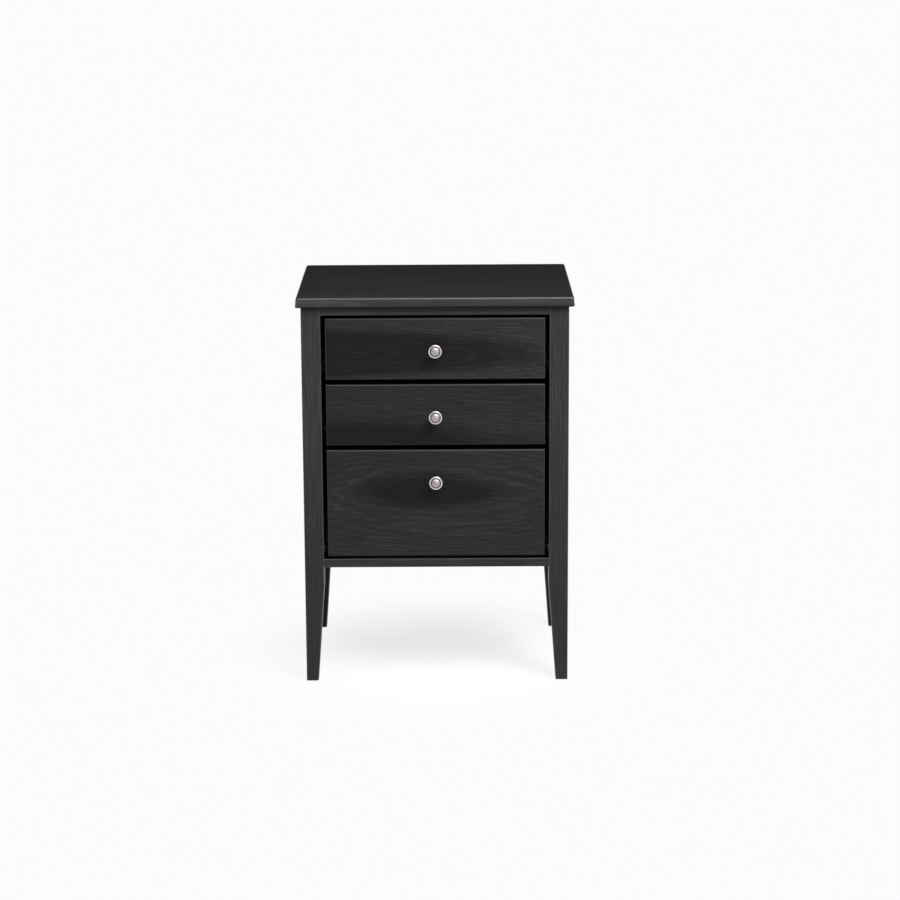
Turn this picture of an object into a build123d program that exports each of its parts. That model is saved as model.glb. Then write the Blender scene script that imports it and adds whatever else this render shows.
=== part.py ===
"""Nightstand with three inset drawers, each on a pair of roller runners.

Millimetres, +Z up, the front looks towards -Y. The origin is on the floor, in the
middle of the overall footprint, knobs included.
"""

import os
from math import cos, radians, sin, sqrt

from build123d import *

# Overall sizes
overall_height = 730.0
top_width = 510.0
top_depth = 400.0
top_thickness = 18.0
top_slope = 6.0
top_round = 4.0
top_ease = 1.5
top_corner = 7.0
side_overhang = 10.0
front_overhang = 10.0
rear_overhang = 20.0

# Legs and glides
leg_size = 36.0
foot_size = 22.5
leg_ease = 2.0
foot_chamfer = 1.0
taper_drop = 34.0
glide_diameter = 15.0
glide_thickness = 1.0
glide_pin_diameter = 2.5
glide_pin_length = 12.0

# Rails, panels and cleats
top_rail_height = 16.0
bottom_rail_height = 16.0
bottom_rail_depth = 96.0
top_rail_setback = 3.0
bottom_rail_setback = 1.0
rail_ease = 1.0
tenon_shoulder = 3.0
tenon_wall = 3.0
rear_rail_thickness = 16.0
rear_top_rail_height = 60.0
rear_bottom_rail_height = 40.0
panel_thickness = 18.0
panel_reveal = 5.0
tongue_length = 8.0
tongue_thickness = 6.0
back_thickness = 6.0
back_inset = 8.0
slide_cleat_height = 40.0
top_cleat_height = 18.0
glue_gap = 0.1

# Drawer fronts and the gaps round them
small_front_height = 115.0
deep_front_height = 203.0
front_thickness = 19.0
front_ease = 3.5
front_setback = 1.0
gap_side = 7.0
gap_top = 5.0
gap_between = 8.0
gap_bottom = 5.0

# Drawer boxes
box_wall = 12.0
box_rear_gap = 10.0
box_below_front_top = 12.0
box_above_front_bottom = 14.0
box_bottom_thickness = 6.0
box_bottom_rise = 8.0
groove_depth = 6.0
tail_pitch = 30.0
pin_width = 8.0
dovetail_slope = 1 / 7

# Roller runners
runner_space = 12.5
runner_inset = 2.0
runner_rear_inset = 8.0
runner_gauge = 1.2
runner_axis_height = 11.0
flange_gap = 1.3
box_flange = 10.0
roller_radius = 8.0
roller_edge = 0.8
roller_gap = 0.3
roller_bay_gap = 1.2
track_gap = 1.0
stud_radius = 2.5
stud_clearance = 0.05
stud_head_radius = 4.0
stud_head = 0.5
stud_end_gap = 1.7
stop_height = 3.0
open_axis_spacing = 61.3
runner_hole_radius = 2.2
runner_sink_radius = 3.4
runner_hole_spacing = 96.0

# Knobs and screws
knob_radius = 12.5
knob_projection = 24.0
knob_base_radius = 7.0
knob_base_height = 1.5
knob_waist_radius = 4.8
knob_rim_width = 3.2
knob_rim_height = 5.0
knob_groove_width = 1.0
knob_groove_depth = 1.2
knob_dome_height = 3.5
knob_drop = 59.0
screw_radius = 2.0
screw_clearance = 0.05
screw_head_radius = 4.0
screw_head_height = 2.5
knob_screw_grip = 10.0
top_screw_grip = 12.0
top_screw_spacing = 240.0

# How near two planes lie that count as one
same_plane = 0.001

# Planes that follow from the sizes above
half_width = top_width / 2 - side_overhang
inner = half_width - leg_size
front_reach = max(knob_projection - front_setback, front_overhang)
case_depth = top_depth - front_overhang - rear_overhang
leg_front = -(front_reach + case_depth + rear_overhang) / 2 + front_reach
leg_rear = leg_front + case_depth
leg_front_back = leg_front + leg_size
leg_rear_front = leg_rear - leg_size
bottom_rail_back = leg_front + bottom_rail_setback + bottom_rail_depth
case_top = overall_height - top_thickness
drawer_face = leg_front + front_setback
panel_inner = half_width - panel_reveal - panel_thickness
side_groove = half_width - panel_reveal - (panel_thickness + tongue_thickness) / 2
tenon_length = side_groove - inner - tenon_wall
rear_rail_back = leg_rear - back_inset - back_thickness
rear_rail_front = rear_rail_back - rear_rail_thickness
box_start = drawer_face + front_thickness
box_end = rear_rail_front - box_rear_gap
runner_start = box_start + runner_inset
runner_end = box_end - runner_rear_inset

# Drawer fronts as (lowest, highest), stacked downwards from the top rail
upper_high = case_top - top_rail_height - gap_top
middle_high = upper_high - small_front_height - gap_between
lower_high = middle_high - small_front_height - gap_between
fronts = {
    "upper": (upper_high - small_front_height, upper_high),
    "middle": (middle_high - small_front_height, middle_high),
    "lower": (lower_high - deep_front_height, lower_high),
}
bottom_rail_top = fronts["lower"][0] - gap_bottom
case_bottom = bottom_rail_top - bottom_rail_height


def block(xs, ys, zs, grow=0.0):
    """A box between low and high limits on each axis, grown by a gap on every side."""
    limits = (xs, ys, zs)
    sizes = [high - low + 2 * grow for low, high in limits]
    middle = [(low + high) / 2 for low, high in limits]
    return Pos(*middle) * Box(*sizes)


def rod_x(x_from, x_to, y, z, radius):
    """A round bar along X."""
    return Pos((x_from + x_to) / 2, y, z) * Rot(Y=90) * Cylinder(radius, abs(x_to - x_from))


def rod_y(x, y_from, y_to, z, radius):
    """A round bar along Y."""
    return Pos(x, (y_from + y_to) / 2, z) * Rot(X=90) * Cylinder(radius, abs(y_to - y_from))


def rod_z(x, y, z_from, z_to, radius):
    """A round bar along Z."""
    return Pos(x, y, (z_from + z_to) / 2) * Cylinder(radius, abs(z_to - z_from))


def mirrored(shape):
    """The same piece on the other side of the cabinet."""
    return mirror(shape, about=Plane.YZ)


def edges_along(shape, axis, *planes):
    """Edges parallel to an axis that lie on each of the given (axis, position) planes."""
    found = shape.edges().filter_by(axis)
    for across, position in planes:
        found = found.filter_by_position(across, position - same_plane, position + same_plane)
    return found


# Top slab
def make_top():
    """A slab whose edge leans in towards its rounded upper corner.

    Easing the lower corner of a leaning edge shortens the slab a little, so its outline
    starts wider by that much.
    """
    lean = radians(top_slope)
    spare = top_ease * ((1 + sin(lean)) / cos(lean) - 1)
    middle = leg_front - front_overhang + top_depth / 2
    outline = RectangleRounded(top_width + 2 * spare, top_depth + 2 * spare, top_corner)
    slab = extrude(Pos(0, middle, case_top) * outline, top_thickness, taper=top_slope)
    slab = fillet(slab.faces().sort_by(Axis.Z)[-1].edges(), top_round)
    slab = fillet(slab.faces().sort_by(Axis.Z)[0].edges(), top_ease)
    for hole in top_screw_shanks(screw_clearance):
        slab -= hole
    return slab


# Joinery between legs, rails and panels: each tongue or tenon is also the cutter of its groove
def front_rail_limits(low, high, setback, back):
    return (leg_front + setback, back), (low, high)


def rear_rail_limits(low, high):
    return (rear_rail_front, rear_rail_back), (low, high)


rails = {
    "top_rail_front": front_rail_limits(
        case_top - top_rail_height, case_top, top_rail_setback, leg_front_back
    ),
    "bottom_rail_front": front_rail_limits(
        case_bottom, bottom_rail_top, bottom_rail_setback, bottom_rail_back
    ),
    "top_rail_rear": rear_rail_limits(case_top - rear_top_rail_height, case_top),
    "bottom_rail_rear": rear_rail_limits(case_bottom, case_bottom + rear_bottom_rail_height),
}


def rail_tenon(name, grow=0.0):
    """The tenon at the left end of a rail, within the thickness of its leg."""
    (y_low, y_high), (z_low, z_high) = rails[name]
    if name.endswith("front"):
        y_high = min(y_high, leg_front_back)
    return block(
        (-inner - tenon_length, -inner),
        (y_low + tenon_shoulder, y_high - tenon_shoulder),
        (z_low + tenon_shoulder, z_high - tenon_shoulder),
        grow,
    )


def side_tongues(grow=0.0):
    """The left side panel's tongues, from leg to leg."""
    return block(
        (-side_groove - tongue_thickness, -side_groove),
        (leg_front_back - tongue_length, leg_rear_front + tongue_length),
        (case_bottom, case_top),
        grow,
    )


def back_sheet(grow=0.0):
    """The plywood back, from one rear leg's groove to the other's."""
    y_outer = leg_rear - back_inset
    return block(
        (-inner - tongue_length, inner + tongue_length),
        (y_outer - back_thickness, y_outer),
        (case_bottom, case_top),
        grow,
    )


# Legs
def leg_section(size, corner_x, corner_y, depth_sign, z):
    """A rounded square that keeps to the leg's outer corner."""
    centre = (corner_x + size / 2, corner_y + depth_sign * size / 2, z)
    return Pos(*centre) * RectangleRounded(size, size, leg_ease)


def make_left_leg(corner_y, depth_sign):
    """A left leg: straight down the case, then tapered on its two inner faces."""
    corner_x = -half_width
    taper_top = case_bottom - taper_drop
    foot = glide_thickness
    toe = Pos(foot_chamfer, depth_sign * foot_chamfer, 0) * leg_section(
        foot_size - 2 * foot_chamfer, corner_x, corner_y, depth_sign, foot
    )
    ankle = leg_section(foot_size, corner_x, corner_y, depth_sign, foot + foot_chamfer)
    knee = leg_section(leg_size, corner_x, corner_y, depth_sign, taper_top)
    tapered = loft([toe, ankle, knee], ruled=True)
    straight = extrude(knee, case_top - taper_top)
    leg = tapered + straight
    leg -= side_tongues(glue_gap)
    x_foot = corner_x + foot_size / 2
    y_foot = corner_y + depth_sign * foot_size / 2
    pin_top = foot + glide_pin_length + glue_gap
    leg -= rod_z(x_foot, y_foot, foot, pin_top, glide_pin_diameter / 2 + screw_clearance)
    return leg


def make_front_leg():
    leg = make_left_leg(leg_front, 1)
    for name in ("top_rail_front", "bottom_rail_front"):
        leg -= rail_tenon(name, glue_gap)
    return leg


def make_rear_leg():
    leg = make_left_leg(leg_rear, -1)
    for name in ("top_rail_rear", "bottom_rail_rear"):
        leg -= rail_tenon(name, glue_gap)
    return leg - back_sheet(glue_gap)


def make_glide(x, y):
    """A nail-on glide: a domed button with its pin."""
    button = rod_z(x, y, 0, glide_thickness, glide_diameter / 2)
    button = chamfer(button.edges().sort_by(Axis.Z)[0], glide_thickness / 2)
    pin_top = glide_thickness + glide_pin_length
    return button + rod_z(x, y, glide_thickness, pin_top, glide_pin_diameter / 2)


# Rails, panels and cleats
def make_rail(name):
    (y_low, y_high), (z_low, z_high) = rails[name]
    rail = block((-inner, inner), (y_low, y_high), (z_low, z_high))
    if name.endswith("front"):
        rail = fillet(edges_along(rail, Axis.X, (Axis.Y, y_low)), rail_ease)
    tenon = rail_tenon(name)
    rail = rail + tenon + mirrored(tenon)
    if name == "top_rail_front":
        for hole in top_screw_shanks(screw_clearance) + top_screw_heads(screw_clearance):
            rail -= hole
    return rail


def make_side_panel():
    panel = block(
        (-half_width + panel_reveal, -panel_inner),
        (leg_front_back, leg_rear_front),
        (case_bottom, case_top),
    )
    return panel + side_tongues()


def slide_cleat(level):
    """A strip that brings the side panel out to the legs' inner plane at one runner."""
    axis_z = runner_axis(level)
    return block(
        (-panel_inner, -inner),
        (leg_front_back, leg_rear_front),
        (axis_z - slide_cleat_height / 2, axis_z + slide_cleat_height / 2),
    )


def top_cleat():
    """A strip at the head of the side panel that takes screws into the top."""
    cleat = block(
        (-panel_inner, -inner),
        (leg_front_back, leg_rear_front),
        (case_top - top_cleat_height, case_top),
    )
    for hole in top_screw_shanks(screw_clearance) + top_screw_heads(screw_clearance):
        cleat -= hole
    return cleat


# Screws that hold the top down, through the front rail and the top cleats
def top_screw_places():
    """Each screw's x, y and the underside that its head sits in."""
    rail_y = (leg_front + top_rail_setback + leg_front_back) / 2
    cleat_x = (panel_inner + inner) / 2
    cleat_middle = (leg_front_back + leg_rear_front) / 2
    half = top_screw_spacing / 2
    places = []
    for side in (-1, 1):
        places.append((side * half, rail_y, case_top - top_rail_height))
        for end in (-1, 1):
            places.append((side * cleat_x, cleat_middle + end * half, case_top - top_cleat_height))
    return places


def top_screw_shanks(grow=0.0):
    return [
        rod_z(x, y, z, case_top + top_screw_grip + grow, screw_radius + grow)
        for x, y, z in top_screw_places()
    ]


def top_screw_heads(grow=0.0):
    return [
        rod_z(x, y, z, z + screw_head_height, screw_head_radius + grow)
        for x, y, z in top_screw_places()
    ]


# Drawer boxes
def runner_axis(level):
    """Height of the rear rollers' axis, which the runners are laid out from."""
    return box_limits(level)[0] + runner_axis_height


def box_limits(level):
    low, high = fronts[level]
    return low + box_above_front_bottom, high - box_below_front_top


def box_half_width():
    return inner - runner_space


def pins(level, y_outer, y_inner):
    """The dovetail pins at the left end of a box board, between the tails of the side."""
    low, high = box_limits(level)
    count = max(2, round((high - low) / tail_pitch))
    pitch = (high - low) / count
    narrow = pin_width / 2
    wide = narrow + box_wall * dovetail_slope
    sketch = Sketch()
    for index in range(count + 1):
        middle = low + index * pitch
        bottom_narrow = max(middle - narrow, low)
        bottom_wide = max(middle - wide, low)
        top_narrow = min(middle + narrow, high)
        top_wide = min(middle + wide, high)
        sketch += Polygon(
            (y_outer, bottom_narrow),
            (y_inner, bottom_wide),
            (y_inner, top_wide),
            (y_outer, top_narrow),
            align=None,
        )
    return extrude(Plane.YZ.offset(-box_half_width()) * sketch, box_wall, dir=(1, 0, 0))


def front_pins(level):
    return pins(level, box_start, box_start + box_wall)


def back_pins(level):
    return pins(level, box_end, box_end - box_wall)


def box_bottom(level, grow=0.0):
    """The plywood bottom, which reaches into the grooves of all four boards."""
    half = box_half_width() - box_wall + groove_depth
    edge = box_wall - groove_depth
    low = box_limits(level)[0] + box_bottom_rise
    return block(
        (-half, half),
        (box_start + edge, box_end - edge),
        (low, low + box_bottom_thickness),
        grow,
    )


def make_box_side(level):
    half = box_half_width()
    side = block((-half, -half + box_wall), (box_start, box_end), box_limits(level))
    return side - front_pins(level) - back_pins(level) - box_bottom(level, glue_gap)


def make_box_end(level, y_low, end_pins):
    half = box_half_width() - box_wall
    board = block((-half, half), (y_low, y_low + box_wall), box_limits(level))
    return board + end_pins + mirrored(end_pins) - box_bottom(level, glue_gap)


def make_box_front(level):
    board = make_box_end(level, box_start, front_pins(level))
    return board - knob_screw_shank(level, screw_clearance)


def make_box_back(level):
    return make_box_end(level, box_end - box_wall, back_pins(level))


def make_drawer_front(level):
    half = inner - gap_side
    board = block((-half, half), (drawer_face, box_start), fronts[level])
    board = fillet(board.faces().sort_by(Axis.Y)[0].edges(), front_ease)
    return board - knob_screw_shank(level, screw_clearance)


# Knobs and their screws
def knob_height(level):
    return fronts[level][1] - knob_drop


def knob_screw_shank(level, grow=0.0):
    return rod_y(
        0,
        drawer_face - knob_screw_grip - grow,
        box_start + box_wall,
        knob_height(level),
        screw_radius + grow,
    )


def make_knob_screw(level):
    seat = box_start + box_wall
    z = knob_height(level)
    head = rod_y(0, seat, seat + screw_head_height, z, screw_head_radius)
    head = fillet(head.edges().sort_by(Axis.Y)[-1], screw_head_height / 2)
    return head + knob_screw_shank(level)


def make_knob(level):
    """A turned knob: base, waist, rounded rim, a thin groove and a domed centre."""
    rim_front = knob_projection - knob_dome_height
    rim_back = rim_front - knob_rim_height
    rim_inner = knob_radius - knob_rim_width
    dome_radius = rim_inner - knob_groove_width
    edge = knob_rim_width / 2
    waist_end = knob_radius - edge / 2
    waist_middle = (knob_base_height + rim_back) / 2
    outline = Line((0, 0), (knob_base_radius, 0))
    outline += Line((knob_base_radius, 0), (knob_base_radius, -knob_base_height))
    outline += ThreePointArc(
        (knob_base_radius, -knob_base_height),
        (knob_waist_radius, -waist_middle),
        (waist_end, -rim_back),
    )
    outline += Line((waist_end, -rim_back), (knob_radius, -rim_back - edge / 2))
    outline += Line((knob_radius, -rim_back - edge / 2), (knob_radius, -rim_front + edge))
    outline += TangentArc(
        (knob_radius, -rim_front + edge), (knob_radius - edge, -rim_front), tangent=(0, -1)
    )
    outline += Line((knob_radius - edge, -rim_front), (rim_inner, -rim_front))
    outline += Line((rim_inner, -rim_front), (rim_inner, -rim_front + knob_groove_depth))
    outline += Line(
        (rim_inner, -rim_front + knob_groove_depth),
        (dome_radius, -rim_front + knob_groove_depth),
    )
    outline += Line((dome_radius, -rim_front + knob_groove_depth), (dome_radius, -rim_front))
    outline += TangentArc((0, -knob_projection), (dome_radius, -rim_front), tangent=(1, 0))
    outline += Line((0, -knob_projection), (0, 0))
    knob = revolve(make_face(outline), Axis.Y)
    knob = Pos(0, drawer_face, knob_height(level)) * knob
    return knob - knob_screw_shank(level, screw_clearance)


# Runners and rollers. Distances across a runner are counted from the legs' inner plane inwards.
case_flange = runner_space - runner_gauge - flange_gap
rollers_from = runner_gauge + roller_gap + stud_head + roller_gap
rollers_to = runner_space - runner_gauge - stud_end_gap - stud_head - roller_gap
channel_half = roller_radius + roller_gap
track_height = channel_half + runner_gauge + track_gap
front_roller_lift = track_height - roller_gap - roller_radius
front_axis_y = runner_start + roller_bay_gap + roller_radius
rear_axis_y = runner_end - runner_gauge - roller_gap - roller_radius
drawer_travel = rear_axis_y - front_axis_y - open_axis_spacing


def across(distance_from, distance_to):
    """Left-hand x limits of a strip across the runner."""
    return -inner + distance_from, -inner + distance_to


def sunk_holes(x, z, turn):
    """Countersunk screw holes through a runner's gauge, wide on the side that +Z is turned to."""
    middle = (runner_start + runner_end) / 2
    return [
        Pos(x, middle + step * runner_hole_spacing, z)
        * turn
        * Cone(runner_hole_radius, runner_sink_radius, runner_gauge)
        for step in (-1, 0, 1)
    ]


def make_case_runner(level):
    """A channel on the case with a stud for the front roller and a stop at each end."""
    axis_z = runner_axis(level)
    low = axis_z - channel_half - runner_gauge
    high = axis_z + channel_half + runner_gauge
    ys = (runner_start, runner_end)
    web = block(across(0, runner_gauge), ys, (low, high))
    lower = block(across(0, case_flange), ys, (low, low + runner_gauge))
    roller_bay = front_axis_y + roller_radius + roller_bay_gap
    upper = block(across(0, case_flange), (roller_bay, runner_end), (high - runner_gauge, high))
    end_stop = block(across(0, case_flange), (runner_end - runner_gauge, runner_end), (low, high))
    runner = web + lower + upper + end_stop
    roller_low = channel_half - stop_height
    reach = sqrt(roller_radius**2 - roller_low**2) + roller_gap
    stop_y = rear_axis_y - drawer_travel - reach
    runner += block(
        across(0, case_flange),
        (stop_y - runner_gauge, stop_y),
        (low, low + runner_gauge + stop_height),
    )
    stud_end = rollers_to + roller_gap
    stud_z = axis_z + front_roller_lift
    runner += rod_x(-inner, -inner + stud_end, front_axis_y, stud_z, stud_radius)
    runner += rod_x(
        -inner + stud_end, -inner + stud_end + stud_head, front_axis_y, stud_z, stud_head_radius
    )
    return runner - sunk_holes(-inner + runner_gauge / 2, axis_z, Rot(Y=90))


def make_box_runner(level):
    """An angle under the box side, with a track above and a stud for the rear roller."""
    axis_z = runner_axis(level)
    low = box_limits(level)[0]
    track = axis_z + track_height
    ys = (runner_start, runner_end)
    web = block(
        across(runner_space - runner_gauge, runner_space),
        ys,
        (low - runner_gauge, track + runner_gauge),
    )
    foot = block(
        across(runner_space - runner_gauge, runner_space + box_flange), ys, (low - runner_gauge, low)
    )
    rail = block(across(rollers_from, runner_space), ys, (track, track + runner_gauge))
    runner = web + foot + rail
    head_end = rollers_from - roller_gap
    web_face = runner_space - runner_gauge
    runner += rod_x(-inner + head_end, -inner + web_face, rear_axis_y, axis_z, stud_radius)
    runner += rod_x(
        -inner + head_end - stud_head, -inner + head_end, rear_axis_y, axis_z, stud_head_radius
    )
    foot_middle = -inner + runner_space + box_flange / 2
    return runner - sunk_holes(foot_middle, low - runner_gauge / 2, Rot(X=180))


def make_roller(axis_y, axis_z):
    wheel = rod_x(-inner + rollers_from, -inner + rollers_to, axis_y, axis_z, roller_radius)
    wheel = chamfer(wheel.edges(), roller_edge)
    bore = stud_radius + stud_clearance
    return wheel - rod_x(-inner + rollers_from, -inner + rollers_to, axis_y, axis_z, bore)


def pair(shape):
    """A piece and its mirror image, as one group of separate solids."""
    return Compound(children=[shape, mirrored(shape)])


# Every piece by its node name
pieces = {"top_panel": make_top()}

for place, leg in (("front", make_front_leg()), ("rear", make_rear_leg())):
    pieces[f"leg_{place}_left"] = leg
    pieces[f"leg_{place}_right"] = mirrored(leg)

for rail_name in rails:
    pieces[rail_name] = make_rail(rail_name)

side_panel = make_side_panel()
pieces["side_panel_left"] = side_panel
pieces["side_panel_right"] = mirrored(side_panel)
pieces["back_panel"] = back_sheet()

cleats = [slide_cleat(level) for level in fronts]
pieces["slide_cleats_left"] = Compound(children=cleats)
pieces["slide_cleats_right"] = Compound(children=[mirrored(cleat) for cleat in cleats])
pieces["top_cleats"] = pair(top_cleat())
pieces["top_screws"] = Compound(
    children=[shank + head for shank, head in zip(top_screw_shanks(), top_screw_heads())]
)

glide_x = -half_width + foot_size / 2
glides = [make_glide(glide_x, y) for y in (leg_front + foot_size / 2, leg_rear - foot_size / 2)]
pieces["foot_glides"] = Compound(children=glides + [mirrored(glide) for glide in glides])

for level in fronts:
    pieces[f"{level}_drawer_front"] = make_drawer_front(level)
    pieces[f"{level}_box_front"] = make_box_front(level)
    pieces[f"{level}_box_back"] = make_box_back(level)
    box_side = make_box_side(level)
    pieces[f"{level}_box_left"] = box_side
    pieces[f"{level}_box_right"] = mirrored(box_side)
    pieces[f"{level}_box_bottom"] = box_bottom(level)
    pieces[f"{level}_knob"] = make_knob(level)
    pieces[f"{level}_knob_screw"] = make_knob_screw(level)
    case_runner = make_case_runner(level)
    pieces[f"{level}_case_runner_left"] = case_runner
    pieces[f"{level}_case_runner_right"] = mirrored(case_runner)
    box_runner = make_box_runner(level)
    pieces[f"{level}_box_runner_left"] = box_runner
    pieces[f"{level}_box_runner_right"] = mirrored(box_runner)
    axis_height = runner_axis(level)
    pieces[f"{level}_front_rollers"] = pair(make_roller(front_axis_y, axis_height + front_roller_lift))
    pieces[f"{level}_rear_rollers"] = pair(make_roller(rear_axis_y, axis_height))

os.makedirs("parts", exist_ok=True)
for piece_name, piece in pieces.items():
    export_step(piece, f"parts/{piece_name}.step")
print(len(pieces), "pieces written, drawer travel", round(drawer_travel, 3))
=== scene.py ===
# %% [markdown]
# # Dressing a black nightstand
#
# The cabinet is already built: legs, rails, panels, three drawer boxes with dovetailed
# corners, roller runners and turned knobs, each a solid of its own at its real size.
# This lesson gives those solids their finishes, adds the small screws that hold them
# together, and sets up a studio and a camera. The solids stay where they are, and a place
# that depends on one of them is read from its box instead of being typed in again.

# %% Load the cabinet
import math

import bmesh
import bpy
from mathutils import Matrix, Vector


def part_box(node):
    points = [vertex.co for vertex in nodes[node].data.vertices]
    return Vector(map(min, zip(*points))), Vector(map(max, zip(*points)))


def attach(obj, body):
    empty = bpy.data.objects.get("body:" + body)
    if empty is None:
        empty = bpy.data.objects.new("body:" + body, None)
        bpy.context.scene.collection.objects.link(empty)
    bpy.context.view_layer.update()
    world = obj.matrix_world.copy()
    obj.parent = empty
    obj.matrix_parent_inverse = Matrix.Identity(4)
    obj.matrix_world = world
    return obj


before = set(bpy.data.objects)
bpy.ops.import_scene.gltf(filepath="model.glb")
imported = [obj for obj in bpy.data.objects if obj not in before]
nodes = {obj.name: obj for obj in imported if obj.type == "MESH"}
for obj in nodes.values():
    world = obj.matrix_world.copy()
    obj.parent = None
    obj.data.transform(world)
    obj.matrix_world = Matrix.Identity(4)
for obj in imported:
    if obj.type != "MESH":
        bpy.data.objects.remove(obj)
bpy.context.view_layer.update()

LEVELS = ("upper", "middle", "lower")
OUTWARD = {"left": -1, "right": 1}

# %% [markdown]
# ## A bench for node graphs
#
# Every finish is a graph of shader nodes. Written out in full, each node takes a line to
# make, a few to set and more to link. A small bench class keeps that short: a socket is
# given either a plain value or another node's output, and the bench does the rest.

# %% The bench
class Bench:
    """Adds nodes to one graph. A socket takes a plain value or another node's output."""

    def __init__(self, tree):
        self.tree = tree
        tree.nodes.clear()

    def plug(self, value, socket):
        if isinstance(value, bpy.types.NodeSocket):
            self.tree.links.new(value, socket)
        else:
            socket.default_value = value

    def add(self, kind, sockets=(), **settings):
        node = self.tree.nodes.new("ShaderNode" + kind)
        for setting, value in settings.items():
            setattr(node, setting, value)
        for socket, value in dict(sockets).items():
            self.plug(value, node.inputs[socket])
        return node

    def number(self, operation, first, second=0.0):
        return self.add("Math", {0: first, 1: second}, operation=operation).outputs[0]

    def vector(self, operation, first, second):
        return self.add("VectorMath", {0: first, 1: second}, operation=operation).outputs[0]

    def length(self, vector):
        return self.add("VectorMath", {0: vector}, operation="LENGTH").outputs["Value"]

    def dot(self, first, second):
        return self.add("VectorMath", {0: first, 1: second}, operation="DOT_PRODUCT").outputs["Value"]

    def remap(self, value, old, new, kind="LINEAR"):
        sockets = {0: value, 1: old[0], 2: old[1], 3: new[0], 4: new[1]}
        return self.add("MapRange", sockets, clamp=True, interpolation_type=kind).outputs[0]

    def mix(self, share, first, second, how="MIX"):
        sockets = {0: share, 6: first, 7: second}
        return self.add("Mix", sockets, data_type="RGBA", blend_type=how).outputs[2]

    def noise(self, vector, scale, detail=2.0):
        sockets = {"Vector": vector, "Scale": scale, "Detail": detail}
        return self.add("TexNoise", sockets).outputs["Fac"]

    def place(self, kind="Object"):
        return self.add("TexCoord").outputs[kind]

    def ramp(self, value, stops):
        node = self.add("ValToRGB", {0: value})
        elements = node.color_ramp.elements
        while len(elements) < len(stops):
            elements.new(1.0)
        for element, (position, colour) in zip(elements, stops):
            element.position = position
            element.color = (*colour, 1.0)
        return node.outputs["Color"]


print("bench ready")

# %% [markdown]
# ## The room
#
# The photograph is a cut-out on white, yet the top of the cabinet stays nearly black.
# A satin surface seen at a low angle mirrors what stands behind it, so the studio behind
# must have been dark above the white floor. A lamp-only set-up would leave that to
# chance. A world painted by height says it plainly: white at the horizon, dark above.

# %% Paint the world by height
ROOM_TONES = ((0, 0.9), (1, 0.5), (3, 0.03), (9, 0.02), (14, 0.04), (40, 0.12), (90, 0.12))


def grey(level):
    return (level, level, level)


def paint_room():
    world = bpy.data.worlds.new("studio_room")
    world.use_nodes = True
    bench = Bench(world.node_tree)
    height = bench.add("SeparateXYZ", {0: bench.place("Generated")}).outputs["Z"]
    stops = [(math.sin(math.radians(angle)), grey(tone)) for angle, tone in ROOM_TONES]
    sky = bench.add("Background", {"Color": bench.ramp(height, stops), "Strength": 1.0})
    bench.add("OutputWorld", {"Surface": sky.outputs[0]})
    bpy.context.scene.world = world
    return world


print("world:", paint_room().name)

# %% [markdown]
# ## The floor
#
# The studio floor is a white sweep that is lit until it reads as white, with only a soft
# grey shade left under the cabinet. A plain white plane would grow darker away from the
# lamps. So the floor glows at the level of a lit white surface in the distance, and near
# the cabinet part of that glow gives way to a white that catches light and shade. The glow
# is there for the eye and for mirrors only, so that it doesn't light the cabinet from below.

# %% The finish of the floor
FLOOR_WHITE = 0.97
NEAR_GLOW = 0.735
NEAR_WHITE = 0.275
SHADE_REACH = (0.08, 0.44)


def floor_finish():
    material = bpy.data.materials.new("studio_floor")
    material.use_nodes = True
    bench = Bench(material.node_tree)
    away = bench.remap(bench.length(bench.place()), SHADE_REACH, (0.0, 1.0), "SMOOTHSTEP")
    rays = bench.add("LightPath").outputs
    mirrored = bench.number("ADD", rays["Is Glossy Ray"], rays["Is Transmission Ray"])
    seen = bench.number("ADD", rays["Is Camera Ray"], mirrored)
    shade = bench.add("BsdfDiffuse", {"Color": (*grey(NEAR_WHITE), 1.0)})
    glow = bench.add("Emission", {"Color": (*grey(NEAR_GLOW), 1.0), "Strength": seen})
    near = bench.add("AddShader", {0: shade.outputs[0], 1: glow.outputs[0]})
    far = bench.add("Emission", {"Color": (*grey(FLOOR_WHITE), 1.0), "Strength": seen})
    sweep = bench.add("MixShader", {0: away, 1: near.outputs[0], 2: far.outputs[0]})
    bench.add("OutputMaterial", {"Surface": sweep.outputs[0]})
    return material


print("floor finish ready, white at", FLOOR_WHITE)

# %% [markdown]
# ## Laying the floor
#
# A studio sweep curves up behind its subject, so that no line shows where floor and wall
# meet. A curved sheet could do the same here. A flat plane that reaches very far is simpler,
# and its edge is lost too, because the world is white where the two meet at the horizon.

# %% Lay the floor
FLOOR_REACH = 60.0


def lay_floor():
    shape = bmesh.new()
    bmesh.ops.create_grid(shape, x_segments=1, y_segments=1, size=FLOOR_REACH)
    mesh = bpy.data.meshes.new("studio_floor")
    shape.to_mesh(mesh)
    shape.free()
    mesh.materials.append(floor_finish())
    floor = bpy.data.objects.new("studio_floor", mesh)
    bpy.context.scene.collection.objects.link(floor)
    return floor


print("floor:", lay_floor().name, 2 * FLOOR_REACH, "m across")

# %% [markdown]
# ## Softboxes
#
# Black lacquer shows its shape by what it mirrors. A wide softbox overhead draws the
# bright line along the rounded edge of the top and along each drawer's upper edge. A
# strong one at the right lights the fronts from high up: lower down it would reach under
# the slab and wash out the dark line there. A weak one keeps the left leg from sinking,
# and two stand behind the cabinet at its sides, so that its back can be read as well.
# A lamp is given by its radiance, because that is what a mirror sees, whatever its size.

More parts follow.
